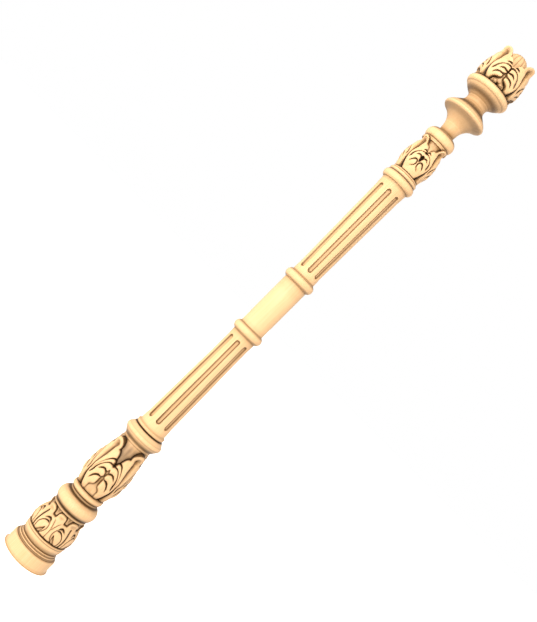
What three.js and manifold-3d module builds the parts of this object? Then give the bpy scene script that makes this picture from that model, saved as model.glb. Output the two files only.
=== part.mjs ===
// A turned and carved wooden stair baluster, 900 mm tall, standing on its flat foot.
// Frame: millimetres, +Z up the axis, origin at the middle of the underside.
// It is one piece of wood: a turned spindle, two fluted lengths of shaft,
// and four bands of carved acanthus leaves.
import * as THREE from "three";
import { mergeVertices } from "three/addons/utils/BufferGeometryUtils.js";
import Module from "manifold-3d";

const WOOD = { colour: "#e6c99a", roughness: 0.5, metalness: 0 };

const FACETS = 24;              // sides of the turned spindle
const ARC_TURN = 37;            // degrees that one chord of a round member may turn

const FLUTES = 8;               // around the shaft, one of them facing the front
const FLUTE_WIDTH = 6.8;
const FLUTE_DEPTH = 1.9;
const FLUTE_END_CHORDS = 3;     // chords of each half-round flute end
const CUTTER_HEIGHT = 6;        // how far a flute cutter stands out past its floor

const LEAVES = 4;               // acanthus leaves around each of the three large bands
const LEAF_TURN = 45;           // degrees from the front to the midrib of the first leaf
const HEADS = 8;                // rounded leaf heads around the bulb of the foot

const SPINE = 8;                // radius of the line inside the wood where a leaf solid ends
const ROOT = 1.5;               // how far the side of a leaf is sunk into the spindle
const degrees = Math.PI / 180;

// The turner's marking-out stick. Each member ends at a radius and a height. Its swell is how
// far the wood bulges out (or is hollowed in, when negative) from the straight line to it.
const spindle = [
  // name, radius, height, swell
  ["lip of the foot", 35.3, 1.2, 0],
  ["cove over the lip", 33.6, 3.6, 0],
  ["drum", 33.6, 16.2, 0],
  ["shoulder of the drum", 31.8, 19.6, 0],
  ["first step", 29.7, 21.3, 0],
  ["first step bead", 29.5, 23.6, 0],
  ["second step", 28.3, 24.6, 0],
  ["second step bead", 28.1, 26.8, 0],
  ["under the bowl", 27.5, 27.4, 0],
  ["bowl", 30.2, 37.5, 1.0],
  ["rim of the bowl", 30.4, 41.2, 0],
  ["bulb", 28.9, 70.5, 2.2],
  ["ledge under the leaf heads", 25.6, 72.0, 0],
  ["neck of the bulb", 24.8, 80.4, 0],
  ["ring over the bulb", 26.2, 81.0, 0],
  ["top of that ring", 26.2, 83.4, 0],
  ["great torus", 24.4, 104.8, 5.4],
  ["neck under the collar", 22.0, 106.8, 0],
  ["foot of the collar", 21.8, 109.0, 0],
  ["collar", 22.4, 118.7, 2.5],
  ["seat of the vase", 21.2, 119.2, 0],
  ["vase under its leaves", 21.4, 201.0, 4.6],
  ["ring over the vase", 21.7, 204.4, 0],
  ["underside of the collar", 28.0, 213.1, 0],
  ["edge of the collar", 27.3, 218.4, 0.7],
  ["top of the collar", 22.2, 224.7, 0],
  ["fillet", 22.3, 229.2, 0],
  ["cove into the shaft", 20.2, 232.4, 0],
  ["foot of the lower shaft", 19.4, 246.2, 0],
  ["taper of the lower shaft", 17.4, 383.5, 0],
  ["lower shaft", 17.6, 396.5, 0],
  ["lower ring", 17.8, 410.0, 4.6],
  ["band between the rings", 17.8, 489.8, 0],
  ["upper ring", 17.6, 503.3, 4.6],
  ["taper of the upper shaft", 17.4, 514.4, 0],
  ["upper shaft", 19.2, 653.0, 0],
  ["head of the upper shaft", 19.9, 669.2, 0],
  ["torus under the cup", 21.6, 680.7, 3.5],
  ["fillet", 21.5, 685.3, 0],
  ["step under the cup", 19.8, 688.2, 0],
  ["seat of the cup", 16.9, 688.6, 0],
  ["cup under its leaves", 16.9, 739.0, 2.6],
  ["fillet over the cup", 19.2, 739.5, 0],
  ["top of that fillet", 19.2, 744.1, 0],
  ["torus over the cup", 12.3, 760.8, 5.9],
  ["foot of the trumpet", 11.4, 761.6, 0],
  ["trumpet", 12.5, 773.0, 0],
  ["flare of the trumpet", 18.0, 783.4, -0.7],
  ["bell of the trumpet", 29.5, 792.0, 0],
  ["edge of the bell", 31.2, 797.3, 1.2],
  ["bevel over the bell", 28.2, 800.9, 0],
  ["slope over the bell", 19.2, 808.3, 0],
  ["upper neck", 15.7, 816.3, -1.0],
  ["root of the dish", 16.6, 820.6, 0],
  ["hollow of the dish", 20.9, 824.8, 0],
  ["underside of the dish", 29.2, 831.8, 0],
  ["edge of the dish", 30.8, 841.4, 2.6],
  ["seat of the bud", 28.7, 842.0, 0],
  ["bud under its leaves", 26.6, 872.0, 2.2],
  ["edge of the bud", 25.0, 873.6, 0],
  ["valley round the dome", 17.6, 873.0, 0],
  ["side of the dome", 16.7, 883.3, 0],
  ["crown of the dome", 0, 900.0, 4.9],
];

// Where the flutes of each shaft start and stop, and the shaft's radius there.
const flutedShafts = [
  { low: 240.9, high: 388.5, lowRadius: 19.5, highRadius: 17.4 },
  { low: 511.6, high: 658.9, lowRadius: 17.4, highRadius: 19.3 },
];

// One acanthus leaf, the same design on every band: how far up the leaf each station is,
// how many degrees it reaches to each side of the midrib, and how sunk its midrib is.
const leafStations = [
  // up, reach, midrib groove
  [0.0, 25, 4.5],
  [0.14, 26, 2.0],
  [0.22, 40, 1.0],
  [0.32, 36, 0.8],
  [0.38, 42, 0.8],
  [0.46, 37, 1.0],
  [0.53, 44, 1.5],
  [0.61, 37, 2.6],
  [0.66, 39, 3.0],
  [0.74, 35, 2.8],
  [0.82, 23, 2.0],
  [0.9, 19, 1.0],
  [1.0, 8, 0.3],
];
const LEAF_COLUMNS = [-1, -0.7, 0, 0.7, 1];
const EDGE_FALL = 0.7;          // how much lower a leaf lies along its edge than at its flank

// The three bands that carry four leaves each: their height, and the radius of the leaf's
// flank at the seat, through a bulging belly, to the tip. A band whose leaves stand free of
// the wood behind them gives the height where that starts and the thickness of the leaf.
const bands = {
  vase: { low: 119.2, high: 200.9, seat: 24.2, top: 24.6, belly: 4.9, curl: 2.0 },
  cup: { low: 688.6, high: 742.0, seat: 19.6, top: 18.6, belly: 4.4, curl: 3.4 },
  bud: { low: 842.2, high: 892.4, seat: 29.2, top: 25.6, belly: 4.0, curl: 4.2,
    free: 871, thickness: 6 },
};

// The heads of the eight leaves round the bulb, and the pods that lie between their stems.
const headStations = [
  // height, reach in degrees, radius
  [66, 14, 29.8],
  [76, 15, 27.8],
  [80.5, 10, 27.0],
];
const HEAD_COLUMNS = [-1, -0.5, 0.5, 1];
const podStations = [
  [44, 4, 29.6],
  [50, 11, 32.6],
  [59, 10, 33.0],
  [64, 4, 31.2],
];

// Points of an arc from one outline point to the next, with the given swell to the outside.
function arc(from, to, swell) {
  const chord = to.clone().sub(from);
  const length = chord.length();
  const radius = (length * length / 4 + swell * swell) / (2 * Math.abs(swell));
  const side = new THREE.Vector2(chord.y, -chord.x).multiplyScalar(Math.sign(swell) / length);
  const middle = from.clone().add(to).multiplyScalar(0.5);
  const centre = middle.clone().addScaledVector(side, Math.abs(swell) - radius);
  const turn = 2 * Math.asin(Math.min(1, length / 2 / radius));
  const chords = Math.max(2, Math.round(turn / degrees / ARC_TURN));
  const start = from.clone().sub(centre).angle();
  const step = Math.sign(swell) * turn / chords;
  const points = [];
  for (let k = 1; k < chords; k += 1) {
    const angle = start + k * step;
    const point = new THREE.Vector2(Math.cos(angle), Math.sin(angle));
    points.push(point.multiplyScalar(radius).add(centre));
  }
  points.push(to);
  return points;
}

// The closed half outline of the spindle, from the middle of its underside to its crown.
function spindleOutline() {
  const outline = [new THREE.Vector2(0, 0), new THREE.Vector2(spindle[0][1], 0)];
  for (const [, radius, height, swell] of spindle) {
    const from = outline[outline.length - 1];
    const to = new THREE.Vector2(radius, height);
    outline.push(...(swell ? arc(from, to, swell) : [to]));
  }
  return outline;
}

function turnedSpindle() {
  const geometry = new THREE.LatheGeometry(spindleOutline(), FACETS);
  geometry.rotateX(Math.PI / 2);
  geometry.rotateZ(Math.PI / FACETS);
  return geometry;
}

// A slot with half-round ends, as deep as its flute, leaning with the taper of the shaft.
function fluteCutter(shaft, turn) {
  const half = FLUTE_WIDTH / 2;
  const rise = (shaft.high - shaft.low) / 2 - half;
  const slot = new THREE.Shape();
  slot.absarc(0, rise, half, 0, Math.PI, false);
  slot.absarc(0, -rise, half, Math.PI, 2 * Math.PI, false);
  const geometry = new THREE.ExtrudeGeometry(slot, {
    depth: CUTTER_HEIGHT, bevelEnabled: false, curveSegments: FLUTE_END_CHORDS,
  });
  const taper = Math.atan2(shaft.highRadius - shaft.lowRadius, shaft.high - shaft.low);
  const floor = (shaft.lowRadius + shaft.highRadius) / 2 - FLUTE_DEPTH;
  geometry.rotateX(Math.PI / 2 - taper);
  geometry.translate(0, -floor, (shaft.low + shaft.high) / 2);
  geometry.rotateZ(turn);
  return geometry;
}

// A closed solid that wraps part of the spindle: each station is a height with the points of
// its outer face as angle and radius, the radius where its sides are rooted, and its spine.
function wrappedSolid(stations, turn) {
  const positions = [];
  const indices = [];
  const put = (angle, radius, height) => {
    const direction = angle + turn - Math.PI / 2;
    positions.push(radius * Math.cos(direction), radius * Math.sin(direction), height);
  };
  for (const station of stations) {
    const face = station.face;
    const last = face.length - 1;
    put(face[0].angle, station.root, station.height);
    face.forEach((point) => put(point.angle, point.radius, station.height));
    put(face[last].angle, station.root, station.height);
    put(0, station.spine, station.height);
  }
  const ring = stations[0].face.length + 3;
  for (let row = 0; row + 1 < stations.length; row += 1) {
    for (let k = 0; k < ring; k += 1) {
      const a = row * ring + k;
      const b = row * ring + (k + 1) % ring;
      indices.push(a, b, b + ring, a, b + ring, a + ring);
    }
  }
  const top = (stations.length - 1) * ring;
  for (let k = 0; k + 2 < ring; k += 1) {
    indices.push(ring - 1, k + 1, k);
    indices.push(top + ring - 1, top + k, top + k + 1);
  }
  const geometry = new THREE.BufferGeometry();
  geometry.setAttribute("position", new THREE.Float32BufferAttribute(positions, 3));
  geometry.setIndex(indices);
  return geometry;
}

// Radius of the spindle's own outline at a height, for rooting leaves in it.
const outlinePoints = spindleOutline();
function spindleRadius(height) {
  for (let k = 2; k < outlinePoints.length; k += 1) {
    const from = outlinePoints[k - 1];
    const to = outlinePoints[k];
    if (from.y <= height && height <= to.y && to.y > from.y) {
      return THREE.MathUtils.mapLinear(height, from.y, to.y, from.x, to.x);
    }
  }
  return 0;
}

// An acanthus leaf of a band: scalloped edges, a sunk midrib and a tip that curls outwards.
function acanthusLeaf(band, turn) {
  const stations = leafStations.map(([up, reach, groove]) => {
    const height = THREE.MathUtils.lerp(band.low, band.high, up);
    const belly = 4 * up * (1 - up) * band.belly;
    const curl = band.curl * THREE.MathUtils.smoothstep(up, 0.8, 1);
    const flank = THREE.MathUtils.lerp(band.seat, band.top, up) + belly + curl;
    const face = LEAF_COLUMNS.map((across) => {
      const edge = Math.abs(across) === 1 ? EDGE_FALL : 0;
      const sunk = across === 0 ? groove : 0;
      return { angle: across * reach * degrees, radius: flank - edge - sunk };
    });
    const freed = band.free !== undefined && height > band.free;
    const root = freed ? flank - band.thickness / 2 : spindleRadius(height) - ROOT;
    const spine = freed ? flank - groove - band.thickness / 2 - 1 : SPINE;
    return { height, face, root, spine };
  });
  return wrappedSolid(stations, turn);
}

// A small rounded boss of the bulb's carving, such as a leaf head or a pod.
function boss(rows, columns, turn) {
  const stations = rows.map(([height, reach, radius]) => ({
    height,
    face: columns.map((across) => ({
      angle: across * reach * degrees,
      radius: radius - (Math.abs(across) === 1 ? EDGE_FALL : 0),
    })),
    root: spindleRadius(height) - ROOT,
    spine: SPINE,
  }));
  return wrappedSolid(stations, turn);
}

const wasm = await Module();
wasm.setup();

function solidFrom(geometry) {
  const bare = geometry.clone();
  bare.deleteAttribute("normal");
  bare.deleteAttribute("uv");
  const closed = mergeVertices(bare, 1e-4);
  return new wasm.Manifold(new wasm.Mesh({
    numProp: 3,
    vertProperties: new Float32Array(closed.getAttribute("position").array),
    triVerts: new Uint32Array(closed.getIndex().array),
  }));
}

function geometryFrom(solid) {
  const mesh = solid.getMesh();
  const geometry = new THREE.BufferGeometry();
  geometry.setAttribute("position", new THREE.BufferAttribute(mesh.vertProperties, 3));
  geometry.setIndex(new THREE.BufferAttribute(mesh.triVerts, 1));
  geometry.computeVertexNormals();
  return geometry;
}

function carvedBaluster() {
  let wood = solidFrom(turnedSpindle());
  for (const shaft of flutedShafts) {
    for (let k = 0; k < FLUTES; k += 1) {
      wood = wood.subtract(solidFrom(fluteCutter(shaft, k * 360 / FLUTES * degrees)));
    }
  }
  for (const band of Object.values(bands)) {
    for (let k = 0; k < LEAVES; k += 1) {
      const turn = (LEAF_TURN + k * 360 / LEAVES) * degrees;
      wood = wood.add(solidFrom(acanthusLeaf(band, turn)));
    }
  }
  for (let k = 0; k < HEADS; k += 1) {
    const turn = k * 360 / HEADS * degrees;
    const between = turn + 180 / HEADS * degrees;
    wood = wood.add(solidFrom(boss(headStations, HEAD_COLUMNS, turn)));
    wood = wood.add(solidFrom(boss(podStations, HEAD_COLUMNS, between)));
  }
  return geometryFrom(wood);
}

const material = new THREE.MeshStandardMaterial({
  color: WOOD.colour, roughness: WOOD.roughness, metalness: WOOD.metalness,
});
const baluster = new THREE.Mesh(carvedBaluster(), material);
baluster.name = "baluster";

const group = new THREE.Group();
group.add(baluster);

export default group;
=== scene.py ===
# %% [markdown]
# A turned and carved baluster
#
# The object is one post of a stair rail, 900 mm tall, in pale wood. A turner made it round on
# a lathe, and a carver then cut the flutes and the bands of leaves. This lesson builds it in the
# same order: the turned outline first, then the carving, the wood and the light.

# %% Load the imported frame
import math

import bpy
import numpy as np
from mathutils import Matrix, Vector
from mathutils.bvhtree import BVHTree


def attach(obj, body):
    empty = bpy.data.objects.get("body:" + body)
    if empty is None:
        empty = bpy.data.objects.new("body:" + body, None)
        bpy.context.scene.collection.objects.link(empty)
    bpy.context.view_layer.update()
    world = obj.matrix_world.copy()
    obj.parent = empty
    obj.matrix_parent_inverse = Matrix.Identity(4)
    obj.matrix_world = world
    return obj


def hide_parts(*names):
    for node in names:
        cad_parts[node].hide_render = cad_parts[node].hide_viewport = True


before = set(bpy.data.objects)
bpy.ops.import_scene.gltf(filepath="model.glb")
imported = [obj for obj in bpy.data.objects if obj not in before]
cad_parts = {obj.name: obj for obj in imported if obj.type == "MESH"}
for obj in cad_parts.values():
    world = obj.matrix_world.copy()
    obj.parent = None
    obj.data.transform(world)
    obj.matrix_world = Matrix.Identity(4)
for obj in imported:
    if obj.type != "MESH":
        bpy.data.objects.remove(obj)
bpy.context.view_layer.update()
scene = bpy.context.scene
print("CAD nodes:", list(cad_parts))

# %% [markdown]
# The camera
#
# The post leans across the picture, yet it stands upright on its foot. So the camera is rolled
# instead: its right-hand side points halfway between the world's X and Z. It looks level along
# Y, from the middle of the post's height.

# %% Place the camera
camera = bpy.data.objects.new("camera", bpy.data.cameras.new("camera"))
scene.collection.objects.link(camera)
CAMERA_PLACE = Vector((-0.0008, -1.1085, 0.4413))
camera_right = Vector((1, 0, 1)).normalized()
camera_up = Vector((-1, 0, 1)).normalized()
camera_back = camera_right.cross(camera_up)
turned = Matrix((camera_right, camera_up, camera_back)).transposed()
camera.matrix_world = Matrix.Translation(CAMERA_PLACE) @ turned.to_4x4()
camera.data.lens = 50
camera.data.sensor_width = 36
scene.camera = camera
print("camera looks along", tuple(round(v, 3) for v in -camera_back))

# %% [markdown]
# The turner's rod
#
# A turner marks every bead, cove and fillet on a flat rod and holds it against the spinning wood.
# A lathe modifier would make such a shape too, but the carved bands later ask how thick the wood
# is at any height, so the outline is kept as numbers. Each member gives the radius and height
# where it ends, and how far it swells out from the straight line to there. A swell below zero is
# a hollow. All sizes are millimetres.

# %% Mark out the foot and the vase
lower_members = [
    # name, radius, height, swell
    ("lip of the foot", 35.3, 0.9, 0.3),
    ("cove over the lip", 33.6, 3.2, -0.5),
    ("drum", 33.6, 16.2, 0),
    ("shoulder of the drum", 31.8, 19.6, 0.5),
    ("first cove", 29.8, 21.3, -0.4),
    ("first bead", 29.5, 23.6, 0.6),
    ("second cove", 28.4, 24.6, -0.25),
    ("second bead", 28.1, 26.8, 0.6),
    ("foot of the bowl", 27.5, 27.3, 0),
    ("bowl", 30.2, 37.5, 1.0),
    ("line under the rim", 29.9, 37.9, 0),
    ("rim of the bowl", 30.2, 40.9, 0.8),
    ("seat of the bulb", 29.0, 41.7, 0),
    ("bulb", 25.5, 71.7, 2.2),
    ("neck of the bulb", 24.9, 80.5, 0),
    ("ring over the bulb", 26.2, 81.0, 0),
    ("top of the ring", 26.2, 83.4, 0),
    ("groove", 25.4, 84.2, 0),
    ("great torus", 24.4, 104.8, 5.4),
    ("groove", 21.8, 106.1, 0),
    ("thread", 22.1, 106.9, 0),
    ("top of the thread", 22.1, 108.2, 0),
    ("foot of the collar", 21.6, 109.2, 0),
    ("collar", 22.3, 118.7, 2.45),
    ("seat of the vase", 22.2, 118.8, 0),
    ("vase", 21.3, 200.6, 4.6),
    ("line over the vase", 21.2, 201.6, 0),
    ("ring over the vase", 21.7, 201.9, 0),
    ("top of that ring", 21.7, 204.4, 0),
    ("underside of the cap", 28.0, 213.1, 0.2),
    ("bead of the cap", 27.3, 218.4, 0.7),
    ("slope of the cap", 23.4, 223.5, 0),
    ("groove", 21.4, 224.6, 0),
    ("fillet", 22.3, 225.5, 0),
    ("top of the fillet", 22.3, 229.2, 0),
    ("cove into the shaft", 20.0, 233.1, -0.8),
]
print(len(lower_members), "members up to", lower_members[-1][2], "mm")

# %% Mark out the shafts
shaft_members = [
    ("foot of the lower shaft", 19.4, 246.2, 0),
    ("lower shaft", 17.4, 383.5, 0),
    ("head of the lower shaft", 17.6, 396.5, 0),
    ("lower ring", 17.8, 410.0, 4.6),
    ("plain band", 17.8, 489.8, 0),
    ("upper ring", 17.6, 503.3, 4.6),
    ("foot of the upper shaft", 17.4, 514.4, 0),
    ("upper shaft", 19.2, 653.0, 0),
    ("head of the upper shaft", 19.9, 669.2, -0.1),
]
print(len(shaft_members), "members up to", shaft_members[-1][2], "mm")

# %% Mark out the cup, the bell and the dish
upper_members = [
    ("torus under the cup", 21.6, 680.8, 3.5),
    ("fillet", 21.5, 681.4, 0),
    ("top of the fillet", 21.5, 685.3, 0),
    ("step", 20.3, 685.7, 0),
    ("slope into the cup", 19.8, 688.2, 0),
    ("seat of the cup", 18.6, 688.4, 0),
    ("cup", 16.4, 735.8, 3.1),
    ("head of the cup", 17.2, 739.0, 0),
    ("fillet over the cup", 19.2, 739.5, 0),
    ("top of that fillet", 19.2, 744.1, 0),
    ("torus over the cup", 12.3, 760.7, 5.9),
    ("foot of the trumpet", 11.4, 761.4, 0),
    ("trumpet", 12.6, 773.9, -0.4),
    ("flare", 18.5, 783.9, -0.65),
    ("bell", 29.2, 791.2, -0.65),
    ("edge of the bell", 31.3, 796.4, 1.3),
    ("line over the edge", 30.8, 796.8, 0),
    ("bevel", 28.2, 800.3, 0.2),
    ("slope over the bell", 19.2, 808.3, 0),
    ("upper neck", 15.7, 816.3, -1.0),
    ("root of the dish", 16.6, 820.6, -0.2),
    ("hollow of the dish", 20.9, 824.8, -0.3),
    ("underside of the dish", 29.0, 831.6, 0.5),
    ("line under the lip", 29.4, 832.1, 0),
    ("lip of the dish", 30.8, 841.4, 2.5),
    ("seat of the bud", 28.6, 842.0, 0),
]
members = lower_members + shaft_members + upper_members
print(len(upper_members), "members up to", upper_members[-1][2], "mm,", len(members), "in all")

# %% [markdown]
# From members to points
#
# A member's arc is stepped in short chords, so that it looks round from close up. A second point
# just inside each end keeps the shading of one member from running over into the next, as
# holding loops do in hand modelling.

# %% Step along one member
ARC_STEP = math.radians(11)  # the most an arc turns from one point to the next
STRAIGHT_STEP = 2.5  # mm between points on a straight slope
LONG_STEPS = 4  # the most steps that a long straight slope is given
HOLD = 0.3  # mm from a member's end to its holding point
NEAR_ENDS = (1.5, 3.5, 7, 12)  # mm from the ends of a long member, where its tone changes fast
ROOMY = 4  # a point near each end is added if the chord is so much longer


def member_points(start, end, swell):
    """Points in mm along one member, without its first."""
    (r0, z0), (r1, z1) = start, end
    chord = math.hypot(r1 - r0, z1 - z0)
    out = np.array([z1 - z0, r0 - r1]) / chord
    turn = 4 * math.atan2(2 * abs(swell), chord)
    steps = max(1, math.ceil(turn / ARC_STEP), min(LONG_STEPS, math.ceil(chord / STRAIGHT_STEP)))
    shares = set(np.linspace(0, 1, steps + 1)[1:])
    for distance in (HOLD, *NEAR_ENDS):
        if chord > ROOMY * distance:
            shares |= {distance / chord, 1 - distance / chord}
    along = np.array(sorted(shares))
    line = np.array(start) + np.outer(along, [r1 - r0, z1 - z0])
    if swell:
        radius = chord * chord / (8 * abs(swell)) + abs(swell) / 2
        half = np.abs(along - 0.5) * chord
        bulge = np.sqrt(radius * radius - half * half) - (radius - abs(swell))
        line += np.outer(np.sign(swell) * bulge, out)
    return line


print("points along a bead 2 mm long:", len(member_points((29, 0), (29, 2), 0.6)))

# %% Join the members into an outline
FOOT_RADIUS = 35.0
corner = (FOOT_RADIUS, 0.0)
stretches = [np.array([corner])]
for _, radius, height, swell in members:
    stretches.append(member_points(corner, (radius, height), swell))
    corner = (radius, height)
outline = np.concatenate(stretches)


def turned_radius(height):
    """Radius of the turned wood, in mm, at a height or at many."""
    return np.interp(height, outline[:, 1], outline[:, 0])


print(len(outline), "points along the outline, up to", outline[-1, 1], "mm")

# %% [markdown]
# One eighth of the pattern
#
# All the carving repeats four times round the post, and each quarter is its own mirror image. So
# only one eighth is worked out: from the seam between two leaves, at 0 degrees, to the midrib of
# a leaf, at 45. The rest is that eighth turned over again and again, like a paper pattern.

# %% Lay out the columns
EIGHTH = 60  # columns from a seam to a midrib
COLUMNS = 8 * EIGHTH
angle = np.linspace(0, 45, EIGHTH + 1)
column = np.arange(COLUMNS)
folded = np.minimum(column % (2 * EIGHTH), -column % (2 * EIGHTH))
print(COLUMNS, "columns,", 360 / COLUMNS, "degrees apart")


def smooth(share):
    """0 to 1 with a soft start and a soft end."""
    share = np.clip(share, 0, 1)
    return share * share * (3 - 2 * share)


# %% [markdown]
# Distances on the wood
#
# Carving is drawn here as lines on the unrolled surface: degrees across and millimetres up. A cut
# is deepest on its line, so each point of the wood needs its distance to that line. An opening
# is a closed line, and the sign of the distance says on which side of it a point lies.

# %% Measure to a line
def to_line(across, up, line):
    """Distance in mm from each point to a line of (mm, mm, value), and the value there."""
    best = np.full(across.shape, np.inf)
    value = np.zeros(across.shape)
    for (x0, y0, v0), (x1, y1, v1) in zip(line, line[1:]):
        dx, dy = x1 - x0, y1 - y0
        share = ((across - x0) * dx + (up - y0) * dy) / max(dx * dx + dy * dy, 1e-9)
        share = np.clip(share, 0, 1)
        far = np.hypot(across - x0 - share * dx, up - y0 - share * dy)
        value = np.where(far < best, v0 + share * (v1 - v0), value)
        best = np.minimum(best, far)
    return best, value


def outside(across, up, ring):
    """Distance in mm to a closed line, negative for a point inside it."""
    inside = np.zeros(across.shape, bool)
    for (x0, y0, _), (x1, y1, _) in zip(ring, ring[1:] + ring[:1]):
        if y0 != y1:
            crosses = (y0 > up) != (y1 > up)
            inside ^= crosses & (across < x0 + (up - y0) * (x1 - x0) / (y1 - y0))
    far, _ = to_line(across, up, ring + ring[:1])
    return np.where(inside, -far, far)


def on_wood(points, radius):
    """Pattern points (degrees, mm[, depth]) as (mm, mm, depth) at that radius."""
    return [(math.radians(p[0]) * radius, p[1], p[2] if len(p) > 2 else 0) for p in points]


upright = [(0, 0, 1), (0, 9, 1)]
print("from 3 mm beside an upright line:", to_line(np.array([3.0]), np.array([5.0]), upright)[0][0])

# %% [markdown]
# One cut of the gouge
#
# A gouge leaves a narrow valley between softly rounded banks. Two curves added together give
# that section. Shade is painted dark along the valley and thinly over the banks, so the painted
# shade has a section of its own.

# %% Shape one cut
VALLEY_PART, BANK_PART = 0.6, 0.4  # shares of a cut's depth
BANK_WIDTH = 3.6  # width of the banks over that of the valley
LINE_PART, SKIRT_PART = 0.88, 0.12  # shares of the painted shade in a cut and over its banks
SKIRT_WIDTH = 2  # width of the shade over the banks, over that of the line


def cut(distance, width):
    """Share of a cut's depth at a distance from its line, both in mm."""
    return (VALLEY_PART * np.exp(-((distance / width) ** 2))
            + BANK_PART * np.exp(-distance / (BANK_WIDTH * width)))


def line_shade(distance, width):
    """Painted shade in a cut: dark across the valley and thinning out fast over the banks."""
    return (LINE_PART * np.exp(-((distance / width) ** 4))
            + SKIRT_PART * np.exp(-distance / (SKIRT_WIDTH * width)))


print("1 mm from a cut 0.75 mm wide: depth", round(float(cut(1, 0.75)), 2), "of 1, wax",
      round(float(line_shade(1, 0.75)), 2), "of 1")

# %% [markdown]
# The midrib
#
# Each leaf is folded along its middle. The fold is open and deep at the leaf's seat, closes to a
# line halfway up, and opens again below the curled tip. One table says this for every band, in
# shares of the band's own depth and width.

# %% Fold the midrib
MIDRIB = [
    # share of the way up the leaf, depth and width as shares of the band's own,
    # how dark the painted shade along the bottom is, and half its width in mm
    (0.0, 1.0, 1.0, 1.0, 2.3), (0.05, 0.85, 0.8, 1.0, 2.3), (0.1, 0.68, 0.55, 1.0, 2.2),
    (0.15, 0.55, 0.38, 1.0, 2.0), (0.2, 0.48, 0.28, 1.0, 1.6), (0.28, 0.4, 0.2, 1.0, 1.1),
    (0.36, 0.36, 0.14, 0.85, 0.8), (0.42, 0.34, 0.12, 0.75, 0.7), (0.5, 0.44, 0.3, 0.75, 0.7),
    (0.62, 0.78, 0.62, 0.8, 0.7), (0.76, 0.78, 0.66, 0.8, 0.7), (0.83, 0.6, 0.78, 0.5, 0.6),
    (0.88, 0.3, 0.8, 0.15, 0.6), (0.92, 0.0, 0.8, 0.0, 0.6),
]
FULL_DEPTH = 2.0  # mm, the depth at which a cut has its full width
LEAST_HALF = 1.0  # mm added to half the fold's width all the way up
FOLD_REACH, FOLD_HOLLOW = 1.1, 1.3  # how far out its sides begin, and how hollow they are


def midrib(band, phi, height):
    """Depth in mm of the fold at each point, and the shade painted into it."""
    share = (height - band["leaf"][0]) / (band["leaf"][1] - band["leaf"][0])
    steps, depths, widths, darks, lines = zip(*MIDRIB)
    depth = np.interp(share, steps, depths) * band["midrib"]
    half = np.interp(share, steps, widths) * band["midrib_width"] + LEAST_HALF
    far = np.radians(45 - phi) * band["reach"]
    fold = depth * (1 - np.clip(far / (FOLD_REACH * half), 0, 1)) ** FOLD_HOLLOW
    # shade painted along the bottom of the fold
    painted_shade = (np.interp(share, steps, darks) * np.clip(depth / FULL_DEPTH, 0, 1)
           * line_shade(far, np.interp(share, steps, lines)))
    return fold, painted_shade


print(len(MIDRIB), "stations up the midrib")

# %% [markdown]
# How a band is carved
#
# The carver leaves a band of wood standing proud, draws the veins with a small gouge, and cuts
# the openings down to the turned surface. The function below does the same with heights. A
# sculpted mesh would be freer, but each of these cuts keeps a width and a depth to correct.
#
# In a band, leaf gives the heights of the seat and the tip, and reach is the radius at which
# degrees become millimetres. The face is the surface before any cut, as height and radius. A cut
# is its half width and a line of degrees, height and depth. A swell is a soft lump, or a hollow
# if it sinks: its middle, its size and its rise, and a little shade is painted over it. An
# opening has five numbers and an edge: how far its ground stands above the turned wood, how wide
# its wall is, how dark the painted shade along the wall's foot is, which also sets how deep the
# trench there is, how wide that shade is, and how dark the painted shade on the ground is.

# %% Carve one band
DEEPEN, WIDEN = 1.4, 1.22  # every cut, so that its walls are steep enough to catch shade
NARROWEST = 0.4  # how wide a cut is where it runs out, as a share of its width
SHADE_FILL = 1.25  # a cut has all its painted shade a little before it has its full depth
SHADE_SPREAD = 0.1  # mm that the painted shade reaches past the valley
HOLLOW_SHADE = 0.2  # shade painted into a shallow hollow
CROSSING = 4  # power that joins the depths of crossing cuts, near the deepest
EDGE_ROUND = 1.5  # mm over which a leaf's edge is rounded
WALL_OUT = 0.4  # share of the wall that stands outside the drawn edge
TRENCH, TRENCH_WIDTH = 1.1, 1.2  # mm that the ground is sunk along the foot of a wall
FOOT_SHIFT = 0.5  # how far inside the edge the painted shade along the foot lies, in its widths
GROUND_SHADE_FADE = 9  # mm from the edge over which the painted shade on the ground fades
UNSHADED_OVER, UNSHADED_FADE = 1, 7  # mm over the leaf's top where the ground has no painted shade, and mm to get there


def cut_falls(band, phi, height):
    """How far each cut sinks at each point, in mm, and the shade painted along each."""
    across = np.radians(phi) * band["reach"]
    falls, painted_shade = [], []
    for width, line in band["cuts"]:
        far, depth = to_line(across, height, on_wood(line, band["reach"]))
        fullness = np.clip(depth / FULL_DEPTH, 0, 1)
        narrow = width * WIDEN * (NARROWEST + (1 - NARROWEST) * fullness)
        falls.append(DEEPEN * depth * cut(far, narrow))
        # shade painted along the cut
        darkened = np.clip(SHADE_FILL * depth / FULL_DEPTH, 0, 1)
        painted_shade.append(darkened * line_shade(far, narrow + SHADE_SPREAD))
    fold, fold_shade = midrib(band, phi, height)
    return falls + [fold], painted_shade + [fold_shade]


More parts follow.
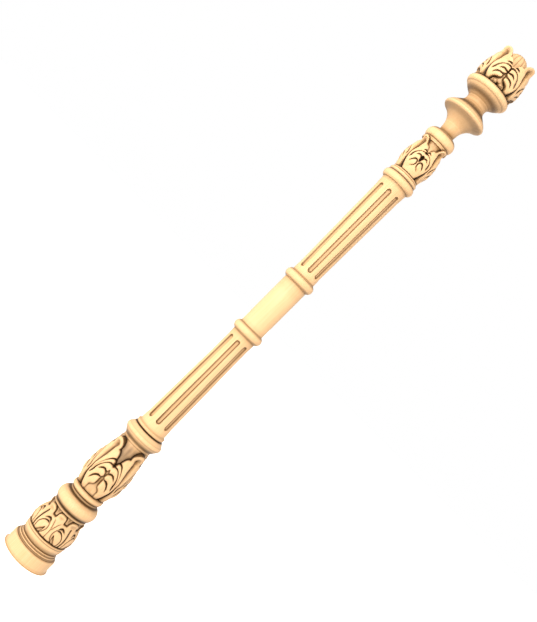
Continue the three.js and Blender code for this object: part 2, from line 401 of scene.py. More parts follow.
def carve(band, phi, height, floor):
    """Radius in mm of a carved band at these angles and heights, and the shade painted into it."""
    across = np.radians(phi) * band["reach"]
    face = np.interp(height, *zip(*band["face"]))
    falls, painted_shade = cut_falls(band, phi, height)
    for (degrees, level), (wide, tall), rise in band["swells"]:
        off = (across - math.radians(degrees) * band["reach"]) / wide
        lump = np.exp(-(off ** 2) - ((height - level) / tall) ** 2)
        face = face + rise * lump
        # a little shade is painted over each swell
        painted_shade.append(HOLLOW_SHADE * lump)
    radius = face - np.sum(np.array(falls) ** CROSSING, axis=0) ** (1 / CROSSING)
    painted_shade = np.max(painted_shade, axis=0)
    under_tip = smooth((band["leaf"][1] + UNSHADED_OVER - height) / UNSHADED_FADE)
    for raised, wall, lined, line, ground_shade, ring in band["openings"]:
        far = outside(across, height, on_wood(ring, band["reach"]))
        edge = radius - band["rounding"] * np.exp(-((np.maximum(far, 0) / EDGE_ROUND) ** 2))
        sunk = TRENCH * lined * np.exp(-((far / TRENCH_WIDTH) ** 2))
        bed = np.minimum(floor + raised, edge) - sunk
        radius = bed + (edge - bed) * smooth(far / wall + WALL_OUT)
        # painted shade: a dark line along the foot of each wall, and shade on the ground near it,
        # under the leaf
        foot = np.maximum(lined * np.exp(-((far / line + FOOT_SHIFT) ** 2)),
                          ground_shade * (far < 0) * np.exp(far / GROUND_SHADE_FADE) * under_tip)
        painted_shade = np.maximum(np.where(far < 0, 0, painted_shade), foot)
    return radius, painted_shade


print("a cut sinks", DEEPEN, "times its drawn depth, and is", WIDEN, "times its drawn width")

# %% [markdown]
# The leaves of the vase
#
# Four acanthus leaves stand round the vase. Each half leaf has five lobes, one above the next,
# and the two halves fall into a deep midrib. The tips stand clear of the vase below its ring. The
# numbers follow the carving: an arc over each lobe, a long vein beside the midrib, and the two
# openings where the turned vase shows.

# %% Draw the vase leaves
vase = {
    "leaf": (119.2, 200.9), "reach": 29.0, "rounding": 0.9,
    "midrib": 5.0, "midrib_width": 6.0,
    "swells": [((45, 188.5), (6.0, 3.0), -1.6)],
    "face": [
        (118.8, 22.4), (119.3, 23.4), (120.2, 24.4), (124, 26.2), (130, 27.8), (136, 29.6),
        (142, 30.5), (147, 30.1), (152, 30.6), (157, 30.1), (162, 29.6), (168, 28.8),
        (174, 27.8), (180, 26.8), (185, 26.1), (189, 25.7), (192, 26.0), (195, 26.9),
        (198, 27.2), (200, 26.8), (201.5, 25.6),
    ],
    "cuts": [
        (0.75, [(30, 133, 0), (28, 136, 0.8), (25.5, 139.5, 1.5), (22, 142.6, 1.9),
                (18, 144.8, 2.1), (13, 146.2, 2.1), (9, 146.4, 1.7), (6, 146.6, 1.1),
                (3, 148.2, 0.8), (0, 149, 0.7)]),
        (0.75, [(27, 151, 0), (25, 153, 0.8), (21, 155.3, 1.6), (17, 157, 2.0),
                (12, 157.6, 2.1), (7, 156.6, 1.9), (4, 155.2, 1.3), (2, 157, 0.9),
                (0, 160, 0.5)]),
        (0.7, [(0, 167.5, 2.8), (5, 167.5, 2.2), (12, 167.3, 1.7), (17, 166, 1.1),
               (21, 163.9, 0.9), (25, 161, 0.9), (30, 156.5, 1.1), (33, 151.5, 1.4),
               (35, 147, 1.9), (36.5, 142.5, 1.7), (38, 139, 0)]),
        (0.75, [(41.5, 145, 0.3), (38.5, 150, 0.5), (35, 156, 0.5), (31, 161.5, 0.6),
                (27, 165.8, 0.8), (22, 170, 1.2), (17, 173, 1.7), (12, 174.3, 2.1),
                (8, 174.2, 2.3)]),
        (1.7, [(0, 169.4, 2.8), (0, 167.2, 2.8), (0, 164.2, 0)]),
        (0.6, [(45, 192.8, 0.6), (41, 192.4, 0.6), (38, 191, 0.5), (35.5, 188.5, 0.4),
               (36.5, 185, 0.2)]),
    ],
    "openings": [
        (1.6, 1.0, 0.5, 0.6, 0.24, [
            (-6, 117), (20, 117), (20, 119.5), (18.6, 122), (18.5, 126), (17.5, 129), (14, 131),
            (8, 133), (5.5, 135), (4.5, 138), (4.5, 142), (5, 145), (3.5, 147.2), (1.6, 148.8),
            (1.3, 150), (2.5, 152), (4, 155), (3, 156.5), (1, 158), (0, 160), (-6, 160)]),
        (0, 1.5, 1.0, 1.9, 1.0, [
            (-6, 169.3), (0, 169.3), (3, 170.4), (4.5, 172), (7.8, 174.4), (8.8, 176), (9.4, 178),
            (11.4, 181), (14.4, 183.8), (18.4, 185.6), (23.4, 186.2), (22.6, 188),
            (22.9, 190.5), (24.6, 193), (28, 195.6), (32, 197.6), (37, 199), (42, 199.8),
            (50, 200), (50, 206), (-6, 206)]),
    ],
}
print("vase leaves:", len(vase["cuts"]), "cuts and", len(vase["openings"]), "openings an eighth")

# %% [markdown]
# The leaves of the cup
#
# The same leaf stands round the cup, two thirds as tall. Here the first two lobes close round a
# dark eye instead of an open channel, and the tips curl out over the fillet above the cup.

# %% Draw the cup leaves
cup = {
    "leaf": (688.6, 742.0), "reach": 22.5, "rounding": 0.8,
    "midrib": 5.0, "midrib_width": 4.8,
    "swells": [((45, 733.5), (4.6, 2.6), -1.4)],
    "face": [
        (688.4, 18.7), (689, 19.3), (690, 19.7), (693, 20.2), (698, 21.6), (701, 22.8),
        (704, 23.7), (709, 24.3), (713, 24.3), (717, 23.9), (722, 22.9), (727, 21.7),
        (731, 20.9), (734, 20.9), (737, 21.8), (739.5, 23.0), (741.5, 23.2), (743, 22.4),
    ],
    "cuts": [
        (0.6, [(28, 700, 0), (26.5, 702.3, 0.8), (24, 704, 1.3), (20, 706, 1.6),
               (16, 707.8, 1.8), (12, 708.4, 1.8), (7, 708, 1.7), (4.4, 706.4, 1.6),
               (3.4, 704, 1.5), (3.6, 702.2, 1.3), (6, 700.5, 1.0), (9, 699.3, 0.8),
               (13, 698, 0.6), (17, 696.8, 0.3), (19.5, 694, 0.1), (20, 690, 0)]),
        (0.6, [(23, 712, 0), (20, 714.2, 1.0), (16, 715.6, 1.6), (11, 715.8, 1.8),
               (7, 715, 1.7), (4, 713.5, 1.6), (2.5, 711, 1.6), (1.5, 709, 1.4)]),
        (0.6, [(0, 722, 2.6), (5, 722, 1.6), (10, 721.8, 1.2), (15, 721, 0.8), (20, 720, 0.8),
               (24, 718.2, 0.9), (27.5, 716.6, 1.0), (31.5, 714.2, 1.4), (34, 711.4, 2.0),
               (35.2, 708.4, 2.1), (36.2, 704.6, 0)]),
        (0.5, [(45, 738.8, 0.7), (41, 738, 0.6), (37, 736, 0.5), (34.5, 733, 0.3),
               (35, 730, 0.2)]),
        (1.0, [(0, 722.4, 2.6), (0, 721, 2.4), (0, 719.8, 0)]),
        (0.6, [(17, 723.2, 0), (14, 724.6, 1.2), (9, 725.6, 1.7), (5, 725.2, 1.8),
               (2, 723.6, 1.3)]),
    ],
    "openings": [
        (-0.6, 0.8, 1.0, 1.2, 1.0, [
            (-6, 717), (0, 717), (2.8, 716.4), (3.6, 715), (2.4, 712.4), (1.6, 709.6),
            (0, 707.6), (-6, 707.6)]),
        (0.8, 1.2, 0.5, 0.6, 0.12, [
            (-6, 723.2), (0, 723.2), (3, 724.2), (5, 725.6), (7.5, 728), (10.5, 730.4),
            (15, 731.8), (20, 732), (24, 732.8), (27.5, 735), (31, 738), (35, 740.4),
            (40, 741.8), (44, 742.4), (50, 742.6), (50, 748), (-6, 748)]),
    ],
}
print("cup leaves:", len(cup["cuts"]), "cuts and", len(cup["openings"]), "openings an eighth")

# %% [markdown]
# The leaves of the bud
#
# At the top the leaf is shorter and wider, and it stands free: its upper edge and its curled tip
# have air behind them. A pair of small scrolls fills the opening at the seat of the bud.

# %% Draw the bud leaves
bud = {
    "leaf": (842.2, 892.4), "reach": 31.0, "rounding": 0.8,
    "midrib": 4.6, "midrib_width": 5.6,
    "swells": [((45, 884.5), (5.5, 3.2), -1.1)],
    "face": [
        (842, 28.7), (843, 29.6), (845, 30.3), (849, 31.6), (853, 32.6), (857, 33.1),
        (861, 32.8), (866, 32.0), (871, 31.2), (876, 30.1), (880, 28.9), (883, 28.3),
        (886, 28.5), (888.5, 29.6), (890.5, 30.8), (893, 31.4),
    ],
    "cuts": [
        (0.75, [(29, 850, 0), (28, 852, 0.8), (24, 855, 1.4), (20, 856.5, 1.7),
                (14, 857.5, 1.8), (8, 857.3, 1.7), (5, 858.5, 1.3), (2, 859.6, 0.8)]),
        (0.75, [(23, 860, 0), (20, 862.5, 1.2), (17, 864, 1.8), (12, 864.6, 2.0),
                (6, 863.6, 2.0), (0, 863, 2.0), (0, 865, 2.1), (0, 869.5, 2.2)]),
        (0.75, [(0, 869.6, 2.0), (3, 871, 2.0), (5, 871.4, 1.9), (12, 871.5, 1.5),
                (18, 870.5, 1.1), (25, 868, 1.0), (30, 864.5, 1.3), (33, 861, 1.9),
                (35.2, 857.5, 2.0), (36.5, 854, 0)]),
        (0.6, [(45, 889, 0.4), (43, 888, 0.35), (41, 885.2, 0.3), (39.6, 881.5, 0.2)]),
        (0.75, [(21, 873.8, 0), (19, 874.6, 1.3), (15, 875.6, 2.0), (10, 875.9, 2.2),
                (7, 874.8, 1.5)]),
        (0.7, [(5, 851.8, 0.8), (8, 850.8, 1.6), (12, 849.9, 2.1), (16, 849.2, 2.4),
               (20, 848, 2.6), (22.5, 846, 2.6), (24, 843, 2.2)]),
        (1.3, [(0, 841.5, 3.0), (0, 845, 2.8), (0, 847.6, 0)]),
    ],
    "openings": [
        (0.9, 1.0, 0.75, 0.9, 0.32, [
            (-6, 840), (25, 840), (24.5, 843.5), (22, 846), (19, 848), (15, 849.5), (11, 850),
            (7, 851), (4.2, 852.5), (3.6, 854.5), (5, 857.2), (3, 859.3), (1.5, 861),
            (0, 862.4), (-6, 862.4)]),
    ],
}
# the wood under the leaves, as height and radius, and the leaves' edge, as degrees and height
bud_core = [(842, 27.2), (850, 28.2), (858, 29.0), (866, 28.4), (874, 27.4)]
bud_rim = [
    (0, 873.0), (3, 873.6), (6, 874.6), (8, 876.5), (10, 878.6), (13, 880.8), (17, 882.2),
    (20, 882.6), (22.5, 882.0), (24.5, 882.8), (26, 884.8), (28, 887.0), (30, 888.8),
    (33, 890.5), (36, 891.5), (40, 892.3), (45, 892.6),
]
print("bud leaves:", len(bud["cuts"]), "cuts, and a rim up to", bud_rim[-1][1], "mm")

# %% [markdown]
# The leaf heads of the bulb
#
# Eight broad leaves wrap the bulb of the foot. Their round heads stand up against the neck, and
# between each two leaves a pod swells under a dark eye. The heads at the seams are narrower.

# %% Draw the bulb leaves
bulb = {
    "leaf": (41.7, 81.0), "reach": 31.0, "rounding": 0.6,
    "midrib": 0.0, "midrib_width": 1.0,
    "swells": [((0, 74), (3.6, 2.0), -0.9), ((45, 73.5), (5.0, 2.2), -0.9)],
    "face": [
        (41.7, 29.0), (42.3, 30.2), (44, 31.5), (50.6, 32.7), (56, 32.3), (60.2, 31.4),
        (62.7, 30.6), (66.6, 29.1), (70, 27.6), (73, 27.0), (75.5, 27.5), (78, 27.7),
        (79.6, 27.0), (81, 25.8),
    ],
    "cuts": [
        (0.8, [(35.5, 61, 0), (33, 62, 0.5), (30, 63.5, 1.2), (26, 64.8, 2.0), (22, 65.3, 2.4),
               (18, 64.5, 1.9), (16, 63.3, 1.2), (14, 62, 0.9), (11, 59.5, 0.8),
               (9.5, 57, 0.8), (9, 54, 0.8), (10.5, 50, 0.9), (13, 47, 0.9), (17, 44.5, 0.9),
               (20, 42, 0.9)]),
        (0.6, [(14, 60.3, 0.6), (17, 61.1, 1.8), (20, 61.4, 2.0), (24, 60.9, 1.7),
               (28, 59.8, 1.2), (32, 57.5, 1.0), (35.5, 54.5, 1.0), (37, 52, 1.0),
               (37.5, 48, 1.0), (37, 44, 0.9), (36, 41, 0.9)]),
        (0.7, [(12, 69.5, 0), (11, 69, 0.4), (7, 66.5, 0.7), (5, 64, 0.7), (3, 61, 0.7),
               (1.5, 58, 0.7), (0, 56, 0.8), (0, 50, 0.7), (0, 41, 0.7)]),
        (0.8, [(45, 71, 0), (45, 69, 2.1), (45, 62, 2.0), (45, 52, 1.6), (45, 41, 1.6)]),
    ],
    "openings": [
        (0, 1.2, 0.9, 1.0, 0.2, [
            (16, 70.4), (14.8, 71.2), (14.4, 73), (13.6, 76), (11, 78.6), (7, 80), (0, 80.5),
            (-6, 80.5), (-6, 84), (50, 84), (50, 80.6), (42, 80.3), (37, 79.6), (33, 78.4),
            (30.2, 76.5), (28.6, 74), (28, 71.6), (26.6, 70.4)]),
        (0.9, 1.2, 0.55, 0.7, 0.3, [
            (14.5, 53.5), (17, 51.5), (22, 48), (29, 42.3), (29, 40), (19, 40), (19, 42.5),
            (17, 46), (15, 50)]),
    ],
}
print("bulb leaves:", len(bulb["cuts"]), "cuts and", len(bulb["openings"]), "openings an eighth")

# %% [markdown]
# The flutes
#
# Eight flutes run up each length of shaft, with a flat bed, steep sides and half-round ends, as a
# round cutter leaves them. The depth depends only on how far inside the flute's edge a point
# lies, so one distance does for the sides and the ends.

# %% Cut the flutes
FLUTE_WIDTH, FLUTE_DEPTH, FLUTE_SIDE = 6.9, 1.9, 0.9
FLUTE_SHADE = 0.42  # painted shade along the foot of a flute's side
SHADE_DOWN, SHADE_WIDE = 0.8, 0.6  # how far down the side the painted shade lies, as a share, and its width in mm
END_ROWS, END_MARGIN = 11, 0.6  # rows in a round end, and mm that they go on past it
MIDDLE_ROWS = 5
flute_runs = [(240.9, 388.5), (511.6, 658.9)]


def flute_heights(low, high):
    """Rows close together at the round ends and far apart between them."""
    end = FLUTE_WIDTH / 2 + END_MARGIN
    near = np.linspace(0, end, END_ROWS)
    middle = np.linspace(low + end, high - end, MIDDLE_ROWS + 2)[1:-1]
    return np.concatenate([low + near, middle, (high - near)[::-1]])


def flute_row(height, low, high):
    """Radius in mm and painted shade at one height of a fluted shaft, for each column."""
    base = float(turned_radius(height))
    across = np.radians(np.minimum(angle, 45 - angle)) * base
    half = FLUTE_WIDTH / 2
    along = np.clip(height, low + half, high - half)
    inside = half - np.hypot(across, height - along)
    # shade painted along the foot of each flute's side
    painted_shade = FLUTE_SHADE * np.exp(-(((inside - SHADE_DOWN * FLUTE_SIDE) / SHADE_WIDE) ** 2))
    return base - FLUTE_DEPTH * smooth(inside / FLUTE_SIDE), painted_shade


for low, high in flute_runs:
    print("flutes from", low, "to", high, "mm in", len(flute_heights(low, high)), "rows")

# %% [markdown]
# Painted shade in the seats
#
# Where two turned members meet there is a sharp inner corner, and shade is painted into it, most
# into the deep ones. The list was made corner by corner.

# %% Paint shade into the seats
SEATS = [
    # height in mm, how dark the painted shade is, how far it reaches in mm
    (20.5, 0.5, 0.9), (24.1, 0.3, 0.7), (28.0, 0.3, 1.2), (30.0, 0.35, 2.8), (38.3, 0.3, 0.8),
    (42.2, 0.6, 1.2), (80.6, 0.6, 0.9), (85.8, 0.92, 3.0), (105.7, 0.75, 1.4),
    (109.3, 0.7, 1.3), (119.4, 0.4, 1.5), (201.7, 0.4, 0.8), (207.2, 0.7, 2.5),
    (213.2, 0.3, 0.9), (218.6, 0.15, 0.6), (224.9, 1.0, 1.3), (231.0, 0.3, 0.8),
    (398.2, 0.35, 1.2), (408.7, 0.35, 1.1), (491.2, 0.35, 1.1), (501.6, 0.4, 1.1),
    (668.8, 0.3, 0.9), (680.8, 0.85, 1.3), (685.4, 0.3, 0.6), (688.2, 0.3, 0.7),
    (744.1, 0.4, 0.8), (757.6, 0.6, 1.7), (783.0, 0.16, 5.0), (789.0, 0.45, 4.2),
    (796.8, 0.25, 0.6), (804.4, 0.82, 3.7), (826.2, 0.52, 3.2), (832.0, 0.3, 0.6),
    (841.6, 0.85, 1.5),
]
SEAT_STEPS = (-1.4, -0.7, 0, 0.7, 1.4)  # rings that a seat needs, in its own reach
CLOSEST = 0.3  # mm between a ring of the outline and one added for a seat


def seat_shade(height):
    """Shade painted where two members meet, at one height or at many."""
    return np.max([dark * np.exp(-(((height - level) / reach) ** 2))
                   for level, dark, reach in SEATS], axis=0)


levels = list(outline[:, 1])
for level, _, reach in SEATS:
    for extra in (level + step * reach for step in SEAT_STEPS):
        if extra < outline[-1, 1] and np.abs(np.array(levels) - extra).min() > CLOSEST:
            levels.append(extra)
print(len(SEATS), "seats, which add", len(levels) - len(outline), "rings to the outline's")

# %% [markdown]
# Rings of points
#
# The whole post is a stack of rings, from the underside to the crown. A plain ring needs few
# points, and a carved one needs many. Each ring keeps a radius and a height for every column of
# the eighth, because the rim of the bud rises and falls.

# %% Stack the rings
ROW = 0.42  # mm between rings in a carved band
CARVED, FLUTED, PLAIN = 1, 2, 6  # a ring has a point at every first, second or sixth column
UNDERSIDE = (8.0, 24.0)  # mm, radius of the rings across the flat foot
rings = []  # radius, height and painted shade for each column, and the kind of ring


def add_ring(radius, height, step, painted_shade=0.0):
    height = height * np.ones(EIGHTH + 1)
    painted_shade = np.maximum(painted_shade, seat_shade(height))
    rings.append((radius * np.ones(EIGHTH + 1), height, painted_shade, step))


def add_band(band, low, high):
    heights = np.linspace(low, high, round((high - low) / ROW))
    phi, height = np.meshgrid(angle, heights)
    for radii, painted_shade, level in zip(*carve(band, phi, height, turned_radius(height)), heights):
        add_ring(radii, level, CARVED, painted_shade)


def add_flutes(low, high):
    for level in flute_heights(low, high):
        radii, painted_shade = flute_row(level, low, high)
        add_ring(radii, level, FLUTED, painted_shade)


# lowest and highest ring of each worked stretch, and its band where it has one
worked = [(41.75, 80.8, bulb), (118.9, 201.5, vase), (688.5, 743.0, cup)]
worked += [(low, high, None) for low, high in flute_runs]
worked.sort(key=lambda stretch: stretch[0])
for radius in UNDERSIDE:
    add_ring(radius, 0.0, PLAIN)
waiting = list(worked)
for height in sorted(levels):
    while waiting and height >= waiting[0][0]:
        low, high, band = waiting.pop(0)
        if band:
            add_band(band, low, high)
        else:
            add_flutes(low, high)
    if not any(low <= height <= high for low, high, _ in worked):
        add_ring(turned_radius(height), height, PLAIN)
print(len(rings), "rings up to the seat of the bud")

# %% [markdown]
# The bud
#
# The rings of the bud climb the outside of the leaves, turn over their edge, and go down behind
# them into a valley, so the surface stays closed, with no hidden walls. Each scroll at the seat
# is a round boss with a groove inside it.

# %% Raise the scrolls
SCROLL = (9.0, 845.2)  # degrees and height of a scroll's middle
SCROLL_RISE, SCROLL_SIZE, SCROLL_SIDE = 1.7, 3.6, 1.2
EYE_DEPTH, EYE_SIZE, EYE_GROOVE = 0.9, 1.9, 0.45  # mm, the groove inside a scroll
SCROLL_REACH = 4.5  # mm from its middle where a scroll has ended
SCROLL_TOP, SCROLL_FADE = 848.5, 1.5  # mm, where the lobes over the scrolls cut them off


def scrolls(phi, height):
    """How far the scrolls rise at each point, in mm."""
    far = np.hypot(np.radians(phi - SCROLL[0]) * bud["reach"], height - SCROLL[1])
    rise = SCROLL_RISE * smooth((SCROLL_SIZE - far) / SCROLL_SIDE)
    rise = rise - EYE_DEPTH * cut(np.abs(far - EYE_SIZE), EYE_GROOVE)
    return np.where(far < SCROLL_REACH, rise, 0) * smooth((SCROLL_TOP - height) / SCROLL_FADE)


print("middle of a scroll rises", round(float(scrolls(SCROLL[0], SCROLL[1])), 2), "mm")

# %% Fold the rings over the rim
BUD_SEAT, BUD_ROWS = 842.1, 112
LEAF_THICK, EDGE = 3.0, 1.0  # mm
EDGE_TURNS = (25, 50, 75, 100, 125, 150, 175)  # degrees round the edge, a ring at each
VALLEY = (18.8, 868.0)  # radius and height of the valley round the dome
VALLEY_ROWS = 15
rim = np.interp(angle, *zip(*bud_rim))
share = np.linspace(0, 1, BUD_ROWS)[:, None]
bud_height = BUD_SEAT + (rim - EDGE - BUD_SEAT) * share
phi = np.broadcast_to(angle, bud_height.shape)
core = np.interp(bud_height, *zip(*bud_core))
bud_radius, bud_shade = carve(bud, phi, bud_height, core)
bud_radius = bud_radius + scrolls(phi, bud_height)
for radii, level, painted_shade in zip(bud_radius, bud_height, bud_shade):
    add_ring(radii, level, CARVED, painted_shade)
outer, edge_height = bud_radius[-1], rim - EDGE
for turn in np.radians(EDGE_TURNS):
    add_ring(outer - LEAF_THICK / 2 * (1 - np.cos(turn)), edge_height + EDGE * np.sin(turn), CARVED)
inner = outer - LEAF_THICK
for part in np.linspace(0, 1, VALLEY_ROWS + 1)[1:]:
    down = (smooth(part) + part) / 2
    add_ring(inner + (VALLEY[0] - inner) * part,
             edge_height + (VALLEY[1] - edge_height) * down, CARVED)
print(len(rings), "rings up to the valley of the bud")

# %% [markdown]
# The dome
#
# A small dome closes the top, with sixteen shallow grooves that run up to its crown. Its rings
# go on from the valley, first up a straight wall and then over the round.

# %% Close the top with a ribbed dome
DOME_RADIUS, DOME_CENTRE = 17.2, 884.2
DOME_FOOT = 869.5  # mm, height of its lowest ring
DOME_SPREAD, DOME_WALL = 0.3, 15  # mm that the wall leans out, over so many mm of height
WALL_ROWS, ROUND_ROWS = 16, 40
FIRST_LIFT, LAST_LIFT = 3, 88  # degrees up the round
# the third number is how dark the shade painted along each groove is
GROOVE_DEPTH, GROOVE_WIDTH, GROOVE_SHADE = 0.9, 0.75, 0.4
GROOVE_START = 4  # mm over the valley by which a groove has its full depth
GROOVE_END = 0.35  # share of the dome's radius inside which a groove fades out
to_groove = np.minimum(np.minimum(angle, 45 - angle), np.abs(angle - 22.5))


def add_dome_ring(radius, height, fade):
    far = np.radians(to_groove) * radius
    add_ring(radius - GROOVE_DEPTH * fade * cut(far, GROOVE_WIDTH), height, CARVED,
             GROOVE_SHADE * fade * np.exp(-((far / GROOVE_WIDTH) ** 2)))


for level in np.linspace(DOME_FOOT, DOME_CENTRE, WALL_ROWS):
    add_dome_ring(DOME_RADIUS + DOME_SPREAD * (DOME_CENTRE - level) / DOME_WALL, level,
                  smooth((level - VALLEY[1]) / GROOVE_START))
for lift in np.radians(np.linspace(FIRST_LIFT, LAST_LIFT, ROUND_ROWS)):
    add_dome_ring(DOME_RADIUS * math.cos(lift), DOME_CENTRE + DOME_RADIUS * math.sin(lift),
                  smooth(math.cos(lift) / GROOVE_END))
print(len(rings), "rings in all")

# %% [markdown]
# From rings to one closed mesh
#
# Neighbouring rings are joined with four-sided faces. A plain ring uses every sixth column, so
# where it meets a carved ring one edge faces six small ones, in a single face with nine corners.
# The underside and the crown are closed with one point each.

# %% Place the points
MM = 0.001
bearing = 2 * np.pi * column / COLUMNS
points, ring_ids, is_carved, point_shade = [], [], [], []
for radius, height, painted_shade, step in rings:
    ids = np.full(COLUMNS, -1)
    used = column[::step]
    ids[used] = len(is_carved) + np.arange(len(used))
    r, z = radius[folded[used]], height[folded[used]]
    points.append(np.stack([r * np.sin(bearing[used]), -r * np.cos(bearing[used]), z], 1) * MM)
    is_carved += [step == CARVED] * len(used)
    point_shade += painted_shade[folded[used]].tolist()
    ring_ids.append((ids, step))
bottom_tip, top_tip = len(is_carved), len(is_carved) + 1
points.append(np.array([[0, 0, 0], [0, 0, (DOME_CENTRE + DOME_RADIUS) * MM]]))
is_carved += [False, True]
point_shade += [0.0, 0.0]
print(len(is_carved), "points, of which", sum(is_carved), "are carved")

# %% Join the rings
faces = []
for (low_ids, low_step), (high_ids, high_step) in zip(ring_ids, ring_ids[1:]):
    step = max(low_step, high_step)
    for start in range(0, COLUMNS, step):
        below = [low_ids[(start + k) % COLUMNS] for k in range(0, step + 1, low_step)]
        above = [high_ids[(start + k) % COLUMNS] for k in range(0, step + 1, high_step)]
        faces.append(below + above[::-1])
for (ids, step), tip, up in ((ring_ids[0], bottom_tip, False), (ring_ids[-1], top_tip, True)):
    for start in range(0, COLUMNS, step):
        here, beside = ids[start], ids[(start + step) % COLUMNS]
        faces.append([here, beside, tip] if up else [beside, here, tip])
mesh = bpy.data.meshes.new("carved_baluster")
mesh.from_pydata(np.concatenate(points).tolist(), [], [[int(i) for i in f] for f in faces])
mesh.validate()
# the shade painted along cuts, folds, flutes, grooves and seats is stored on each point
mesh.attributes.new("painted_shade", "FLOAT", "POINT").data.foreach_set("value", np.array(point_shade, np.float32))
baluster = bpy.data.objects.new("carved_baluster", mesh)
scene.collection.objects.link(baluster)
print(len(mesh.vertices), "points and", len(mesh.polygons), "faces")

# %% [markdown]
# Fewer triangles where the wood is calm
#
# An even grid wastes most of its faces on calm parts of the leaves. The Decimate modifier joins
# faces where that changes the surface least, and its vertex group keeps it off the plain members
# and the flutes. A mesh under 200 000 triangles opens easily in any program.

# %% Thin out the carved faces
MOST_TRIANGLES = 196000
group = baluster.vertex_groups.new(name="carved")
group.add([i for i, carved in enumerate(is_carved) if carved], 1.0, "REPLACE")
mesh.calc_loop_triangles()
ratio = MOST_TRIANGLES / len(mesh.loop_triangles)
if ratio < 1:
    thin = baluster.modifiers.new("thin", "DECIMATE")
    thin.ratio = ratio
    thin.vertex_group = "carved"
    bpy.context.view_layer.update()
    seen = baluster.evaluated_get(bpy.context.evaluated_depsgraph_get())
    thinned = bpy.data.meshes.new_from_object(seen)
    baluster.modifiers.clear()
    baluster.data = thinned
    thinned.name = "carved_baluster"
baluster.vertex_groups.clear()
mesh = baluster.data
mesh.calc_loop_triangles()
print(len(mesh.loop_triangles), "triangles after thinning")

# %% Shade it smooth between the sharp edges
SHARP = math.radians(42)
for polygon in mesh.polygons:
    polygon.use_smooth = True
mesh.set_sharp_from_angle(angle=SHARP)
print("edges sharper than", round(math.degrees(SHARP)), "degrees stay sharp")

# %% [markdown]
# Where the shade is painted
#
# Shade is painted dark where the wood closes round a point, as in the cuts, corners and wide
# hollows. So short rays go out from each point of the mesh, and the share that soon meets wood
# again is stored on the point. A painted map would do the same by hand.

# %% Spread the rays
RAYS = 28
golden = math.pi * (3 - math.sqrt(5))
rays = []
for k in range(RAYS):
    lift = math.sqrt(1 - (k + 0.5) / RAYS)
    spread = math.sqrt(1 - lift * lift)
    rays.append(Vector((spread * math.cos(k * golden), spread * math.sin(k * golden), lift)))
print(RAYS, "rays over a half ball, the lowest at", round(rays[-1].z, 2), "of its height")

# %% Measure how closed in each point is
NEAR_REACH, ROOM = 0.005, 0.045  # metres: a near look round, for the darkest painted shade, and a wider look round
OFF = 0.00006  # metres off the surface where a ray starts
ON_DOME = 0.3  # the dome keeps less of the painted shade from the wide look round
tree = BVHTree.FromPolygons([v.co for v in mesh.vertices], [p.vertices[:] for p in mesh.polygons])
near, wide = np.zeros(len(mesh.vertices)), np.zeros(len(mesh.vertices))
for index, vertex in enumerate(mesh.vertices):
    normal = vertex.normal
    to_world = normal.to_track_quat("Z", "Y").to_matrix()
    start = vertex.co + normal * OFF
    for ray in rays:
        far = tree.ray_cast(start, to_world @ ray, ROOM)[3]
        if far is not None:
            wide[index] += 1 - (far / ROOM) ** 2
            near[index] += max(0.0, 1 - (far / NEAR_REACH) ** 2)
spots = np.array([vertex.co for vertex in mesh.vertices])
on_dome = (spots[:, 2] > VALLEY[1] * MM) & (np.hypot(spots[:, 0], spots[:, 1]) < VALLEY[0] * MM)
wide[on_dome] *= ON_DOME
for name, values in (("near", near / RAYS), ("wide", wide / RAYS)):
    mesh.attributes.new(name, "FLOAT", "POINT").data.foreach_set("value", values.astype(np.float32))
    print(name, "middle", round(float(np.median(values)), 3), "most", round(float(values.max()), 3))

# %% [markdown]
# The wood
#
# The post is lime, the carver's usual wood: pale, close and nearly without figure, sanded smooth
# and waxed. It is an even warm cream with a dull gleam and a trace of long grain, and shade is
# painted dark into its cuts and hollows. A picture of boards could be wrapped on, but noise
# stretched along the post follows the real grain and has no seam.

# %% Helpers for colours and nodes
def linear(code):
    """An sRGB colour such as "#e7be8c" as linear red, green, blue and alpha."""
    parts = [int(code[i:i + 2], 16) / 255 for i in (1, 3, 5)]
    return [p / 12.92 if p <= 0.04045 else ((p + 0.055) / 1.055) ** 2.4 for p in parts] + [1.0]


def add_node(tree, kind, links=(), **settings):
    """Adds a node. Settings are its properties or, by input name, its socket values."""
    node = tree.nodes.new(kind)
    for name, value in settings.items():
        if hasattr(node, name):
            setattr(node, name, value)
        else:
            node.inputs[name.replace("_", " ")].default_value = value
    for source, socket in links:
        tree.links.new(source, node.inputs[socket])
    return node


print("middle grey in linear light:", round(linear("#808080")[0], 3))

# %% [markdown]
# The grain
#
# Faint streaks run along lime, a fraction of a millimetre wide. They are drawn a little over one
# millimetre wide, because finer ones would be lost between the picture's points.

# %% Grow the grain of the lime
LIME_PALE = linear("#f0c391")
LIME_WARM = linear("#e8b67f")
GRAIN_WIDTH = 1.1  # mm across one streak of the grain
GRAIN_LENGTH = 45  # mm along it
wood = bpy.data.materials.new("waxed_lime_wood_painted_shade")
wood.use_nodes = True
nodes = wood.node_tree
nodes.nodes.clear()
coordinates = add_node(nodes, "ShaderNodeTexCoord")
stretch = add_node(nodes, "ShaderNodeMapping", [(coordinates.outputs["Object"], "Vector")],
                   Scale=(1 / (GRAIN_WIDTH * MM), 1 / (GRAIN_WIDTH * MM), 1 / (GRAIN_LENGTH * MM)))
streaks = add_node(nodes, "ShaderNodeTexNoise", [(stretch.outputs[0], "Vector")],
                   Scale=1.0, Detail=4.0, Roughness=0.55)
faint = add_node(nodes, "ShaderNodeMapRange", [(streaks.outputs["Fac"], "Value")],
                 From_Min=0.35, From_Max=0.75)
grain = add_node(nodes, "ShaderNodeMix", [(faint.outputs[0], 0)], data_type="RGBA")
grain.inputs[6].default_value = LIME_PALE
grain.inputs[7].default_value = LIME_WARM
print("streaks", GRAIN_WIDTH, "mm wide and", GRAIN_LENGTH, "mm long")
